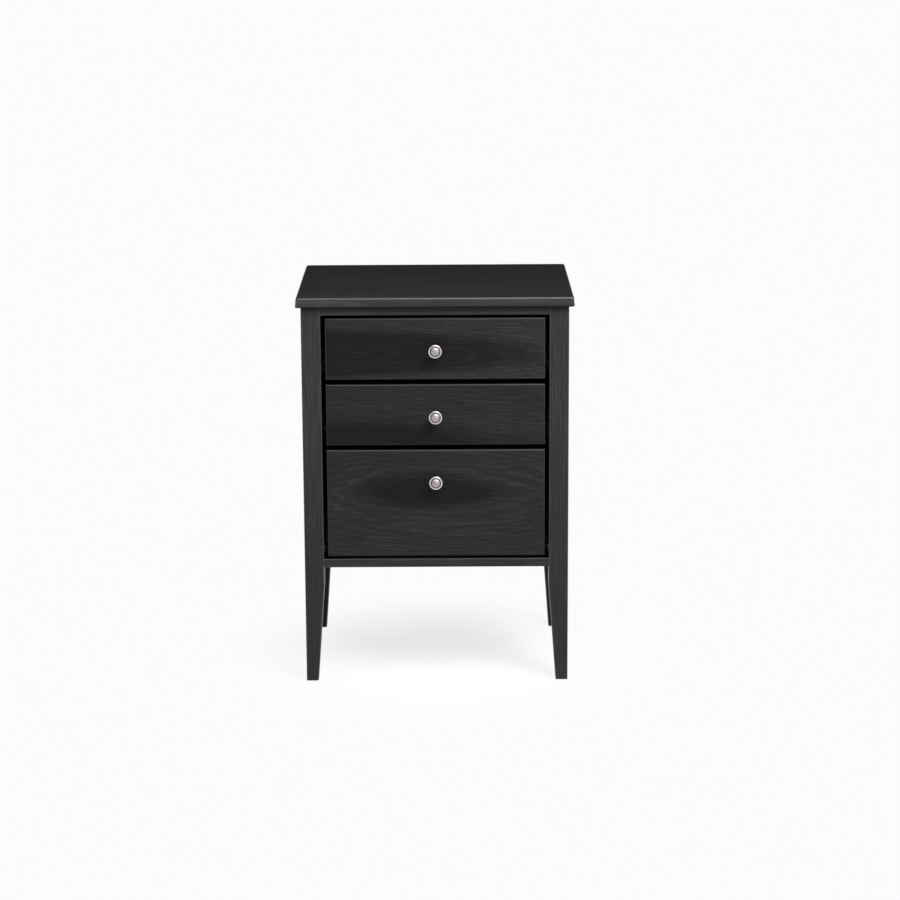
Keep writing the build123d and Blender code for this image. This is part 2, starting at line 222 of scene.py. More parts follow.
# %% Hang the softboxes
AIM = Vector((0.0, 0.0, 0.4))
SOFTBOXES = {
    "overhead_softbox": {"place": (0.25, -1.2, 2.6), "size": (2.4, 2.4), "radiance": 2.4},
    "right_softbox": {"place": (1.3, -1.9, 2.7), "size": (1.2, 1.4), "radiance": 14.0},
    "left_softbox": {"place": (-2.3, -2.4, 1.3), "size": (1.0, 1.7), "radiance": 1.8},
    "rear_left_softbox": {"place": (-2.7, 2.3, 0.9), "size": (1.3, 1.6), "radiance": 7.0},
    "rear_right_softbox": {"place": (2.7, 2.3, 0.9), "size": (1.3, 1.6), "radiance": 5.0},
}


def hang_softbox(name, place, size, radiance):
    lamp = bpy.data.lights.new(name, "AREA")
    lamp.shape = "RECTANGLE"
    lamp.size, lamp.size_y = size
    lamp.energy = radiance * math.pi * size[0] * size[1]
    holder = bpy.data.objects.new(name, lamp)
    holder.location = place
    holder.visible_camera = False
    holder.rotation_euler = (AIM - Vector(place)).to_track_quat("-Z", "Y").to_euler()
    bpy.context.scene.collection.objects.link(holder)
    return lamp


for softbox, setting in SOFTBOXES.items():
    print(softbox, round(hang_softbox(softbox, **setting).energy, 1), "W")

# %% [markdown]
# ## The camera
#
# The photograph was taken from nearly straight in front, a little above the top, with a
# long lens from about five metres. Its corners give the camera: where the legs, the top
# and the drawer gaps fall in the picture leaves only one place, angle and focal length
# that fit them all, down to the slight roll of the frame.

# %% Set up the camera
LENS = 104.48
CAMERA_PLACE = Vector((0.0217, -4.8757, 1.5126))
CAMERA_DROP = math.radians(12.8255)
CAMERA_TURN = math.radians(-0.056)
CAMERA_ROLL = math.radians(-0.295)


def set_camera():
    camera = bpy.data.objects.new("camera", bpy.data.cameras.new("camera"))
    camera.data.lens = LENS
    camera.data.clip_end = 2 * FLOOR_REACH
    turn = Matrix.Rotation(CAMERA_TURN, 4, "Z")
    drop = Matrix.Rotation(math.pi / 2 - CAMERA_DROP, 4, "X")
    roll = Matrix.Rotation(CAMERA_ROLL, 4, "Z")
    camera.matrix_world = Matrix.Translation(CAMERA_PLACE) @ turn @ drop @ roll
    bpy.context.scene.collection.objects.link(camera)
    bpy.context.scene.camera = camera
    return camera


bpy.context.scene.view_settings.view_transform = "Standard"
print("camera at", [round(x, 3) for x in set_camera().matrix_world.translation])

# %% [markdown]
# ## Timber: where a board sat in its tree
#
# Wood grain is the growth rings of a tree, cut by a saw. A flat picture of grain stretched
# over a board goes wrong at every corner. If the rings are worked out in space instead, as
# distances from the middle of the tree, then faces, edges and ends agree by themselves:
# arches on a flat-sawn face, straight lines on an edge, arcs on an end. Each board only
# needs to say where its tree stood: the pith, a lean in degrees that opens the rings into
# arches, and a bow that closes them into ovals.

# %% Coordinates in the tree
AXES = {"X": Vector((1, 0, 0)), "Y": Vector((0, 1, 0)), "Z": Vector((0, 0, 1))}


def drawn_out(grain, share):
    """A scale that shortens the fibre direction, so that a pattern is drawn out along it."""
    return Vector((1, 1, 1)) - (1 - share) * AXES[grain]


def seen_from_pith(bench, grain, pith, lean, bow):
    """Coordinates counted from the tree's middle line, which may lean and bow."""
    angles = [math.radians(angle) for angle in lean]
    sockets = {"Vector": bench.place(), "Location": pith, "Rotation": angles}
    straight = bench.add("Mapping", sockets, vector_type="TEXTURE").outputs[0]
    along = bench.dot(straight, AXES[grain])
    square = bench.number("MULTIPLY", along, along)
    bend = bench.add("VectorMath", {0: bow, "Scale": square}, operation="SCALE").outputs[0]
    return bench.vector("ADD", straight, bend)


print("fibres may run along", ", ".join(AXES))

# %% [markdown]
# ## Timber: growth rings
#
# Each year a tree adds a broad band of soft early wood and a thin band of hard late wood.
# Circles round the pith would be too even, because no tree is quite round. The rings of a
# wave texture can be distorted, and where the place is shortened along the fibres, that
# distortion runs long in the direction of the grain, as it does in a trunk. At a scale of 1
# the texture draws a fixed number of rings for each metre, and its scale follows from that.

# %% Growth rings
RINGS_PER_UNIT = 20 / (2 * math.pi)
RING_SPACING = 0.0052
RING_DRAW = 0.12


def growth_rings(bench, tree_place, grain, waver):
    """A saw-tooth from 0 to 1 across each year's ring."""
    sockets = {
        "Vector": bench.vector("MULTIPLY", tree_place, drawn_out(grain, RING_DRAW)),
        "Scale": 1 / (RINGS_PER_UNIT * RING_SPACING),
        "Distortion": waver,
        "Detail": 4.0,
        "Detail Scale": 0.45,
        "Detail Roughness": 0.6,
    }
    settings = {"wave_type": "RINGS", "rings_direction": grain, "wave_profile": "SAW"}
    return bench.add("TexWave", sockets, **settings).outputs["Fac"]


print("rings are", round(1000 * RING_SPACING, 1), "mm apart")

# %% [markdown]
# ## Timber: stain under lacquer
#
# On the real cabinet a black stain soaks into the soft early wood and stays thinner on
# the hard late wood, so the rings show as faint paler lines under a satin lacquer. The
# open pores stay matt, streaks and a slow drift change the tone along a board, and the cut
# ends drink more stain. The rounded corners are paler and browner, partly as wear and partly
# as a painted highlight. One long material could hold all of that for one board. A palette,
# which another one can start from, lets the same recipe serve the black case and the pale
# drawer boxes.

# %% The palette of the black stain
BLACK_STAIN = {
    "early": (0.0090, 0.0088, 0.0090),
    "late": (0.0200, 0.0184, 0.0180),
    "pore": (0.0040, 0.0038, 0.0038),
    # rounded corners: partly wear, partly a painted highlight
    "rubbed_and_sheen": (0.0300, 0.0235, 0.0205),
    "streak": (0.80, 1.16),
    "streak_scale": 230.0,
    "end_share": 0.75,
    "gloss": (0.36, 0.50),
    "edge_drop": 0.16,
    "mirror": 0.16,
    "edge_mirror": 1.0,
}


def new_finish(name):
    """A material with nothing in it, and the bench that holds its graph."""
    material = bpy.data.materials.new(name)
    material.use_nodes = True
    return material, Bench(material.node_tree)


def show(bench, sockets):
    """Ends a graph with the shader that a surface shows."""
    surface = bench.add("BsdfPrincipled", sockets)
    bench.add("OutputMaterial", {"Surface": surface.outputs[0]})


print("black stain:", len(BLACK_STAIN), "settings")

# %% [markdown]
# ## Timber: what follows the shape of a board
#
# Some changes of tone follow the shape of a board and not its grain. A rounded corner is
# known by its normal, which lies between two axes there, and a cut end by a normal along the
# fibres. Painting these by hand would tie the finish to one mesh, while a test of the normal
# suits every board. Both read the board's own space, so they go with a drawer that opens.

# %% Rounded corners and cut ends
EASED_SPAN = (0.88, 0.998)
END_SPAN = (0.5, 0.9)


def eased_edges(bench):
    """1 where a board is rounded over between two of its faces, and 0 on the flats."""
    lengths = bench.add("VectorMath", {0: bench.place("Normal")}, operation="ABSOLUTE").outputs[0]
    along = bench.add("SeparateXYZ", {0: lengths}).outputs
    largest = bench.number("MAXIMUM", bench.number("MAXIMUM", along[0], along[1]), along[2])
    return bench.remap(largest, EASED_SPAN, (1.0, 0.0))


def cut_ends(bench, grain):
    """1 where the saw went across the fibres."""
    facing = bench.dot(bench.place("Normal"), AXES[grain])
    return bench.remap(bench.number("ABSOLUTE", facing), END_SPAN, (0.0, 1.0))


print("corners start", round(math.degrees(math.acos(EASED_SPAN[1])), 1), "degrees off a face")

# %% [markdown]
# ## Timber: painted light and shade, and heartwood
#
# The heart of a tree takes the stain darker than the wood round it. A fade is a slow change
# of tone between two places along an axis, and the fades here paint light and shade into the
# colour: lighter where the lamps fall, darker under the slab and in the gaps. One that starts
# at the front face paints shade on the narrow sides behind it, so that the gaps round a
# drawer read as black lines, and used on the lacquer it takes their reflection away. Vertex
# colours could hold such changes too, but they would have to be painted again for every
# mesh. The heart is everything nearer to the pith than a radius, with a border that the
# drift of the tone makes ragged.

# %% Fades and the heart
HEART_SHARES = (0.45, 1.38)
NOISE_SPAN = (0.3, 0.7)


def faded(bench, axis, places, shares):
    """A slow change of tone between two places along an axis, used to paint light and shade."""
    return bench.remap(bench.add("SeparateXYZ", {0: bench.place()}).outputs[axis], places, shares)


def face_fade(node, skin, shares):
    """A fade from the tone of a piece's front face to the tone behind it: painted light and shade."""
    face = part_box(node)[0].y
    return ("Y", [face + depth for depth in skin], shares)


def heart_tone(bench, tree_place, grain, radius, border, drift):
    """Darker inside the heart of the tree, paler outside it, with a ragged border."""
    distance = bench.length(bench.vector("MULTIPLY", tree_place, drawn_out(grain, 0.0)))
    ragged = bench.number("ADD", distance, bench.remap(drift, NOISE_SPAN, (-border, border)))
    return bench.remap(ragged, (radius - border, radius + border), HEART_SHARES)


print("heartwood has", HEART_SHARES[0], "of the tone, the wood round it", HEART_SHARES[1])

# %% [markdown]
# ## Timber: the layers of a board
#
# Fibres, pores, streaks and drift are four noises in the coordinates of the tree, each
# drawn out along the fibres by its own share and at its own scale, from a tenth of a
# millimetre to a hand's width. A single noise with much detail would be less work, but
# colour, gloss and relief each need some of the layers and not others.

# %% Layers in the coordinates of the tree
FIBRE_SCALE, FIBRE_DRAW = 850.0, 0.02
PORE_SCALE, PORE_DRAW = 2100.0, 0.05
DRIFT_SCALE, DRIFT_DRAW = 7.0, 0.3
STREAK_DRAW = 0.055
PORE_SPAN = (0.60, 0.70)


def along_fibres(bench, tree_place, grain, draw, scale, detail):
    """A noise that is drawn out along the fibres."""
    return bench.noise(bench.vector("MULTIPLY", tree_place, drawn_out(grain, draw)), scale, detail)


def board_layers(bench, tree_place, grain, streak_scale, waver):
    """All that makes up the look of a board, each layer as a number from 0 to 1."""
    wood = (bench, tree_place, grain)
    return {
        "rings": growth_rings(*wood, waver),
        "fibres": along_fibres(*wood, FIBRE_DRAW, FIBRE_SCALE, 3.0),
        "pores": bench.remap(along_fibres(*wood, PORE_DRAW, PORE_SCALE, 1.0), PORE_SPAN, (0.0, 1.0)),
        "streaks": along_fibres(*wood, STREAK_DRAW, streak_scale, 4.0),
        "drift": along_fibres(*wood, DRIFT_DRAW, DRIFT_SCALE, 3.0),
        "eased": eased_edges(bench),
    }


print("pores are", round(1000 / PORE_SCALE, 1), "mm wide or less")

# %% [markdown]
# ## Timber: colour, gloss and relief
#
# The stain comes first: rings mix the early wood into the late wood, and every other layer
# is multiplied on, together with the fades that paint light and shade. Pores, cut ends and
# rounded corners lie on top of that, as they do on the bench; the corners are paler partly as
# wear and partly as a painted highlight. The lacquer is satin, matt in the pores and smoother
# where a corner was rubbed. The relief uses the same rings, fibres and pores, so that a dark
# pore is a deep one too.

# %% The stain
RING_TONES = ((0.0, 0.45), (0.12, 0.0), (0.66, 0.0), (0.90, 1.0), (1.0, 0.45))
LINE_SPAN, LINE_SHARES = (0.42, 0.60), (0.45, 1.0)
FIBRE_SHARES = (0.72, 1.28)
DRIFT_SHARES = (0.82, 1.18)
PORE_SHARE = 0.55
RUB_AND_SHEEN_SPAN, RUB_AND_SHEEN_SHARES = (0.40, 0.60), (0.15, 0.7)


def stained(bench, layers, palette, grain, shares):
    """The colour of a board, with shares of painted light and shade and of the heart multiplied on."""
    lines = bench.ramp(layers["rings"], [(place, grey(tone)) for place, tone in RING_TONES])
    lines = bench.number("MULTIPLY", lines, bench.remap(layers["streaks"], LINE_SPAN, LINE_SHARES))
    colour = bench.mix(lines, (*palette["early"], 1.0), (*palette["late"], 1.0))
    streak_share = bench.remap(layers["streaks"], NOISE_SPAN, palette["streak"])
    fibre_share = bench.remap(layers["fibres"], NOISE_SPAN, FIBRE_SHARES)
    drift_share = bench.remap(layers["drift"], NOISE_SPAN, DRIFT_SHARES)
    for share in (streak_share, fibre_share, drift_share, *shares):
        colour = bench.mix(1.0, colour, share, "MULTIPLY")
    filled = bench.number("MULTIPLY", layers["pores"], PORE_SHARE)
    colour = bench.mix(filled, colour, (*palette["pore"], 1.0))
    end_share = bench.remap(cut_ends(bench, grain), (0.0, 1.0), (1.0, palette["end_share"]))
    colour = bench.mix(1.0, colour, end_share, "MULTIPLY")
    # rounded corners go paler, partly as wear and partly as a painted highlight
    rubbed_and_sheen_share = bench.remap(layers["drift"], RUB_AND_SHEEN_SPAN, RUB_AND_SHEEN_SHARES)
    rubbed_and_sheen_share = bench.number("MULTIPLY", layers["eased"], rubbed_and_sheen_share)
    return bench.mix(rubbed_and_sheen_share, colour, (*palette["rubbed_and_sheen"], 1.0))


print("late wood takes the last", round(100 * (1 - RING_TONES[2][0])), "percent of a ring")

# %% The lacquer and the relief
GLOSS_SPAN = (0.25, 0.75)
PORE_MATT = 0.62
RELIEF_SHARES = {"rings": 0.35, "fibres": 0.6, "pores": -0.5}
RELIEF_STRENGTH = 0.22
RELIEF_DEPTH = 0.00025


def lacquered(bench, layers, palette):
    """The roughness of the lacquer."""
    satin = bench.remap(layers["fibres"], GLOSS_SPAN, palette["gloss"])
    satin = bench.number("MAXIMUM", satin, bench.number("MULTIPLY", layers["pores"], PORE_MATT))
    rubbed_and_sheen = bench.number("MULTIPLY", layers["eased"], palette["edge_drop"])
    return bench.number("SUBTRACT", satin, rubbed_and_sheen)


def grain_relief(bench, layers):
    """A bump that raises rings and fibres and sinks the pores."""
    parts = [bench.number("MULTIPLY", layers[layer], share) for layer, share in RELIEF_SHARES.items()]
    relief = parts[0]
    for part in parts[1:]:
        relief = bench.number("ADD", relief, part)
    sockets = {"Strength": RELIEF_STRENGTH, "Distance": RELIEF_DEPTH, "Height": relief}
    return bench.add("Bump", sockets).outputs[0]


print("relief is", 1000 * RELIEF_DEPTH, "mm deep at most")

# %% [markdown]
# ## Timber: one board
#
# Now a board can be finished: its tree gives the layers, and the layers give colour, gloss
# and relief. The lacquer mirrors more on rounded corners, where it lies thicker and was
# rubbed smooth. Copying a material from board to board would be quick, but then the rings of
# all boards would belong to one tree. So each board calls the recipe with its own tree.

# %% The finish of one board
def timber(
    name, palette, grain, pith, lean=(0, 0, 0), bow=(0, 0, 0), waver=9.0, heart=None, fades=(), dulls=()
):
    """A finish for one board, sawn from a tree whose middle passes through pith.

    Each fade paints light or shade into the tone, and each dull takes shine out where shade is painted.
    """
    material, bench = new_finish(name)
    tree_place = seen_from_pith(bench, grain, pith, lean, bow)
    layers = board_layers(bench, tree_place, grain, palette["streak_scale"], waver)
    shares = [faded(bench, *fade) for fade in fades]
    if heart:
        shares.append(heart_tone(bench, tree_place, grain, *heart, layers["drift"]))
    mirrors = (palette["mirror"], palette["edge_mirror"])
    mirror = bench.remap(layers["eased"], (0.0, 1.0), mirrors)
    for dull in dulls:
        mirror = bench.number("MULTIPLY", mirror, faded(bench, *dull))
    sockets = {
        "Base Color": stained(bench, layers, palette, grain, shares),
        "Roughness": lacquered(bench, layers, palette),
        "Normal": grain_relief(bench, layers),
        "Specular IOR Level": mirror,
    }
    show(bench, sockets)
    return material


def dress(node, finish):
    """Gives a solid its finish, in the slot that it already has."""
    for slot in nodes[node].material_slots:
        slot.material = finish


print("timber recipe ready, mirror level", BLACK_STAIN["mirror"])

# %% [markdown]
# ## The drawer fronts
#
# The fronts are flat-sawn boards with their grain lying across. The upper one shows arches
# that point at the knob, the middle one almost straight lines, and the deep one a dark oval
# round its knob, where the saw just cut into the heart. A repeated texture would give all
# three the same face, so each front gets a pith of its own, set behind its face and at a
# height of its own. The faces that look into the gaps are painted nearly black as painted
# shade, and the middle and deep fronts are painted lighter towards the bottom as painted light.

# %% Three fronts from three trees
FRONT_STAIN = dict(
    BLACK_STAIN,
    early=(0.0200, 0.0200, 0.0204),
    late=(0.0320, 0.0312, 0.0309),
    edge_drop=0.06,
    edge_mirror=0.40,
)
FRONT_TREES = {
    "upper": {"depth": 0.034, "rise": -0.010, "lean": 4.2, "bow": 0.0, "shift": 0.11},
    "middle": {"depth": 0.090, "rise": -0.110, "lean": 3.0, "bow": 0.05, "shift": 0.0},
    "lower": {"depth": 0.100, "rise": -0.020, "lean": 0.0, "bow": 0.29, "shift": 0.0},
}
FRONT_HEARTS = {"upper": (0.045, 0.006), "middle": (0.125, 0.010), "lower": (0.1055, 0.0024)}
FRONT_LIGHT_SHARES = {"upper": (1.05, 1.05), "middle": (0.98, 0.88), "lower": (1.20, 0.85)}
FRONT_SHADE_SKIN = (0.0003, 0.0016)
FRONT_GAP_SHADE_SHARES = (1.0, 0.10)


def front_finish(level):
    front = f"{level}_drawer_front"
    low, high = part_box(front)
    tree = FRONT_TREES[level]
    knob_low, knob_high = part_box(f"{level}_knob")
    knob_height = (knob_low.z + knob_high.z) / 2
    pith = (tree["shift"], low.y + tree["depth"], knob_height + tree["rise"])
    lean = (0.0, 0.0, tree["lean"])
    bow = (0.0, -tree["bow"], 0.0)
    # painted light: the middle and deep fronts lighter towards the bottom
    fades = [("Z", (low.z, high.z), FRONT_LIGHT_SHARES[level])]
    # painted shade on the narrow sides that look into the gaps
    fades.append(face_fade(front, FRONT_SHADE_SKIN, FRONT_GAP_SHADE_SHARES))
    heart = FRONT_HEARTS[level]
    return timber(f"{level}_front_stain", FRONT_STAIN, "X", pith, lean, bow, heart=heart, fades=fades)


for level in LEVELS:
    dress(f"{level}_drawer_front", front_finish(level))
    print(level, "front: pith", FRONT_TREES[level]["depth"], "m behind its face")

# %% [markdown]
# ## The top
#
# The slab is the same stained timber with its grain across, under a thicker and glossier
# lacquer, with long broad streaks. Its front edge carries a painted highlight, its upper face
# is painted darker towards the back as painted shade, and its underside is painted dark and
# dull as the shade under the overhang. A single tone would be simpler, but then either the
# edge or the upper face would be off, because they mirror different things.

# %% Stain the top
TOP_STAIN = dict(
    BLACK_STAIN,
    streak=(0.45, 1.50),
    streak_scale=36.0,
    gloss=(0.29, 0.40),
    edge_drop=0.02,
    mirror=0.54,
    edge_mirror=0.78,
)
TOP_PITH = (0.0, 0.03, -0.09)
TOP_LEAN = (0.0, 1.6, 0.0)
TOP_BACK_SHADE_SHARES = (1.15, 0.30)
TOP_EDGE_LIGHT_SKIN = (0.003, 0.008)
TOP_EDGE_LIGHT_SHARES = (2.7, 1.0)
TOP_UNDER_SHADE = (0.0005, 0.0040)
TOP_UNDER_SHADE_SHARES = (0.25, 1.0)


def beside(node, offset, out=1):
    """A point beside the middle of a piece. On the left, out is -1 and mirrors the offset."""
    low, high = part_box(node)
    across, *rest = offset
    return (low + high) / 2 + Vector((out * across, *rest))


slab_low, slab_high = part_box("top_panel")
# painted shade: the top darker towards the back
slab_fades = [("Y", (slab_low.y, slab_high.y), TOP_BACK_SHADE_SHARES)]
# painted highlight on the front edge of the slab
slab_fades.append(face_fade("top_panel", TOP_EDGE_LIGHT_SKIN, TOP_EDGE_LIGHT_SHARES))
# painted shade under the slab, in the colour and in the shine
painted_underside_shade = ("Z", [slab_low.z + height for height in TOP_UNDER_SHADE], TOP_UNDER_SHADE_SHARES)
slab_fades.append(painted_underside_shade)
slab_pith = beside("top_panel", TOP_PITH)
top_stain = timber("top_stain", TOP_STAIN, "X", slab_pith, TOP_LEAN, fades=slab_fades, dulls=[painted_underside_shade])
dress("top_panel", top_stain)
print("top stained, underside at", round(slab_low.z, 3), "m")

# %% [markdown]
# ## Legs and rails
#
# The grain follows the length of a piece: upright on the legs, across on the rails. The
# front legs and rails are a shade lighter and warmer than the drawers. The warmth is in their
# palette, and the lightness is painted light: on the legs a fade that grows towards the top,
# on the rails a share on their faces. The rear legs keep the plain black stain, a darker copy
# that paints the shade they stand in. In the corner under the slab a narrow line is painted
# dark and dull as painted shade, and so is a rail behind its face, where it looks into the
# gap above or below a drawer. Left to the lamps, such lines turn grey, because lacquer in
# there still mirrors something pale.

# %% Stain the legs
LEG_STAIN = dict(BLACK_STAIN, early=(0.0185, 0.0175, 0.0174), late=(0.0300, 0.0282, 0.0280), mirror=0.30)
LEG_PITH = (0.075, 0.05, 0.0)
LEG_LEAN = 0.5
# painted light on the legs, more of it towards the top
LEG_LIGHT_SHARES = (1.45, 1.88)
LEG_LIGHT_LOW, LEG_LIGHT_HIGH = 0.42, 0.93
# painted shade: a narrow dark line in the corner under the slab
CORNER_SHADE_DEPTHS = (0.0045, 0.0010)
CORNER_SHADE_SHARES = (1.0, 0.25)

painted_corner_shade = ("Z", [slab_low.z - depth for depth in CORNER_SHADE_DEPTHS], CORNER_SHADE_SHARES)
painted_leg_light = ("Z", (LEG_LIGHT_LOW * slab_low.z, LEG_LIGHT_HIGH * slab_low.z), LEG_LIGHT_SHARES)
# the rear legs take the darker black stain as painted shade
for place, stain in {"front": LEG_STAIN, "rear": BLACK_STAIN}.items():
    for side, out in OUTWARD.items():
        leg = f"leg_{place}_{side}"
        lean = (LEG_LEAN * out, 0.0, 0.0)
        pith = beside(leg, LEG_PITH, out)
        fades = [painted_leg_light, painted_corner_shade]
        dress(leg, timber(f"{leg}_stain", stain, "Z", pith, lean, fades=fades, dulls=[painted_corner_shade]))
        print(leg, "stained")

# %% Stain the rails
RAIL_PITH = (0.0, 0.02, 0.11)
RAIL_SHADE_SKIN = (0.0005, 0.0025)
# painted light on each rail's face, painted shade behind it where it looks into a gap
RAIL_LIGHT_AND_SHADE_SHARES = {"top": (3.6, 0.15), "bottom": (1.60, 0.15)}
RAIL_SHADE_MIRROR_SHARES = (1.0, 0.05)

for height, shares in RAIL_LIGHT_AND_SHADE_SHARES.items():
    for place in ("front", "rear"):
        rail = f"{height}_rail_{place}"
        fades = [face_fade(rail, RAIL_SHADE_SKIN, shares), painted_corner_shade]
        dulls = [face_fade(rail, RAIL_SHADE_SKIN, RAIL_SHADE_MIRROR_SHARES), painted_corner_shade]
        pith = beside(rail, RAIL_PITH)
        dress(rail, timber(f"{rail}_stain", LEG_STAIN, "X", pith, fades=fades, dulls=dulls))
        print(rail, "stained")

# %% [markdown]
# ## Side panels and back
#
# The side panels are flat-sawn, with tall arches up their middle, so each one's pith lies
# just behind it and leans. The back is plywood, whose face shows wide and nearly straight
# figure: its pith lies far away. It has one thin coat of stain, so it is a little paler and
# browner than the rest. Mirroring the right panel's finish for the left one would show as
# soon as both are seen, but here each panel's own place makes the ragged part differ.

# %% Stain the panels
BACK_STAIN = dict(BLACK_STAIN, early=(0.0230, 0.0210, 0.0200), late=(0.0340, 0.0300, 0.0280))
PANEL_PITH = (-0.05, 0.02, 0.0)
PANEL_LEAN = 1.8
BACK_PITH = (0.1, -0.3, 0.0)

for side, out in OUTWARD.items():
    panel = f"side_panel_{side}"
    lean = (0.0, PANEL_LEAN * out, 0.0)
    dress(panel, timber(f"{panel}_stain", BLACK_STAIN, "Z", beside(panel, PANEL_PITH, out), lean))
    print(panel, "stained")
dress("back_panel", timber("back_stain", BACK_STAIN, "Z", beside("back_panel", BACK_PITH)))
print("back stained")

# %% [markdown]
# ## The drawer boxes
#
# Open a drawer and the black stops: the boxes are clear-lacquered pale hardwood with
# dovetailed corners and plywood bottoms. The pins show their cut ends between the tails
# of the sides, darker than the long grain beside them. That is why the recipe knows about
# cut ends. Every board comes from its own place in the tree, and each box from further down.

# %% Finish the boxes
BOX_WOOD = {
    "early": (0.600, 0.440, 0.275),
    "late": (0.500, 0.345, 0.200),
    "pore": (0.330, 0.215, 0.120),
    # paler rounded corners: partly wear, partly a painted highlight
    "rubbed_and_sheen": (0.640, 0.490, 0.330),
    "streak": (0.88, 1.12),
    "streak_scale": 230.0,
    "end_share": 0.52,
    "gloss": (0.34, 0.46),
    "edge_drop": 0.06,
    "mirror": 0.45,
    "edge_mirror": 0.5,
}
BOX_BOARDS = {
    "front": ("X", (0.0, 0.05, -0.05)),
    "back": ("X", (0.0, 0.07, -0.05)),
    "left": ("Y", (0.03, 0.03, -0.12)),
    "right": ("Y", (0.03, 0.03, -0.15)),
}
BOX_LEAN = (0.0, 0.0, 1.5)
BOX_STEP = Vector((0.0, 0.0, -0.017))

for order, level in enumerate(LEVELS):
    for board, (grain, offset) in BOX_BOARDS.items():
        node = f"{level}_box_{board}"
        pith = beside(node, offset) + order * BOX_STEP
        dress(node, timber(f"{node}_wood", BOX_WOOD, grain, pith, BOX_LEAN))
    print(level, "box:", len(BOX_BOARDS), "boards finished")

# %% [markdown]
# ## Drawer bottoms and cleats
#
# The bottoms are birch plywood, paler and more even than the boards, with a wilder figure
# because the veneer is peeled off the log. The cleats inside the case are planed and left
# bare, so they have no gloss, and they are painted darker as the shade inside the case. Both
# could be written out as palettes of their own. Starting from the palette of the boxes shows
# at once what differs.

# %% Finish the bottoms and the cleats
BOX_PLY = dict(BOX_WOOD, early=(0.640, 0.495, 0.330), late=(0.560, 0.410, 0.260), streak=(0.94, 1.06))
# the cleats are painted darker as painted shade inside the case
BARE_WOOD_IN_SHADE = dict(BOX_WOOD, early=(0.400, 0.300, 0.190), late=(0.330, 0.235, 0.140), gloss=(0.6, 0.75))
PLY_PITH = (0.04, 0.0, -0.16)
PLY_LEAN = (0.0, 2.5, 0.0)
PLY_WAVER = 12.0
CLEAT_PITH = (0.1, 0.0, 0.35)

for order, level in enumerate(LEVELS):
    bottom = f"{level}_box_bottom"
    pith = beside(bottom, PLY_PITH) + order * BOX_STEP
    dress(bottom, timber(f"{bottom}_ply", BOX_PLY, "X", pith, PLY_LEAN, waver=PLY_WAVER))
cleat_finish = timber("cleat_wood", BARE_WOOD_IN_SHADE, "Y", CLEAT_PITH)
for cleats in ("slide_cleats_left", "slide_cleats_right", "top_cleats"):
    dress(cleats, cleat_finish)
print("bottoms and cleats finished")

# %% [markdown]
# ## Turned nickel
#
# The knobs are turned on a lathe and plated in satin nickel, with a blasted dome inside a
# brighter rim, and painted shade darkens the groove between them. The tool leaves rings round
# the axis that are far too fine to model, so they are a shallow bump round each knob's own
# centre. Tone and gloss go by the distance from that centre, as a share of the knob's radius.
# Fingers dull the plating in patches, and that is a slow change of roughness.

# %% Plate the knobs
LATHE_PITCH = 0.00035
LATHE_STRENGTH = 0.10
LATHE_DEPTH = 0.00004
DOME_TONE = (0.500, 0.455, 0.448)
# painted shade in the groove between dome and rim
GROOVE_SHADE_TONE = (0.100, 0.085, 0.083)
RIM_TONE = (0.700, 0.675, 0.665)
KNOB_TONES = (
    (0.0, DOME_TONE),
    (0.60, DOME_TONE),
    (0.645, GROOVE_SHADE_TONE),
    (0.755, GROOVE_SHADE_TONE),
    (0.80, RIM_TONE),
)
BLAST_SPAN, BLAST_GAIN = (0.62, 0.70), (0.20, 0.0)
TOUCH_SCALE = 130.0
TOUCH_TONES = (0.90, 1.08)
TOUCH_GLOSS = (0.34, 0.46)


def turned_nickel(knob):
    material, bench = new_finish(f"{knob}_nickel")
    low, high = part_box(knob)
    mapping = {"Vector": bench.place(), "Location": (low + high) / 2}
    local = bench.add("Mapping", mapping, vector_type="TEXTURE").outputs[0]
    share = bench.length(bench.vector("MULTIPLY", local, Vector((1, 0, 1)) * 2 / (high.x - low.x)))
    touch = bench.noise(local, TOUCH_SCALE, 3.0)
    touched = bench.remap(touch, NOISE_SPAN, TOUCH_TONES)
    tone = bench.mix(1.0, bench.ramp(share, KNOB_TONES), touched, "MULTIPLY")
    blasted = bench.remap(share, BLAST_SPAN, BLAST_GAIN)
    satin = bench.number("ADD", bench.remap(touch, NOISE_SPAN, TOUCH_GLOSS), blasted)
    sockets = {"Vector": local, "Scale": 1 / (RINGS_PER_UNIT * LATHE_PITCH)}
    rings = bench.add("TexWave", sockets, wave_type="RINGS", rings_direction="Y").outputs["Fac"]
    bump = {"Strength": LATHE_STRENGTH, "Distance": LATHE_DEPTH, "Height": rings}
    normal = bench.add("Bump", bump).outputs[0]
    show(bench, {"Base Color": tone, "Metallic": 1.0, "Roughness": satin, "Normal": normal})
    return material


for level in LEVELS:
    dress(f"{level}_knob", turned_nickel(f"{level}_knob"))
    print(level, "knob plated")

# %% [markdown]
# ## Runners, rollers, glides and screws
#
# The runners are folded steel under a black powder coat, which sets with a fine orange
# peel. The rollers and the glides are moulded nylon, smooth with a faint flow mark. The
# screws are zinc plated, and each crystal of the plating mirrors a little differently.
# Four separate graphs would differ only in their numbers, so one function makes them all:
# a base colour with a cloud in it, and a fine noise in the gloss and the relief.

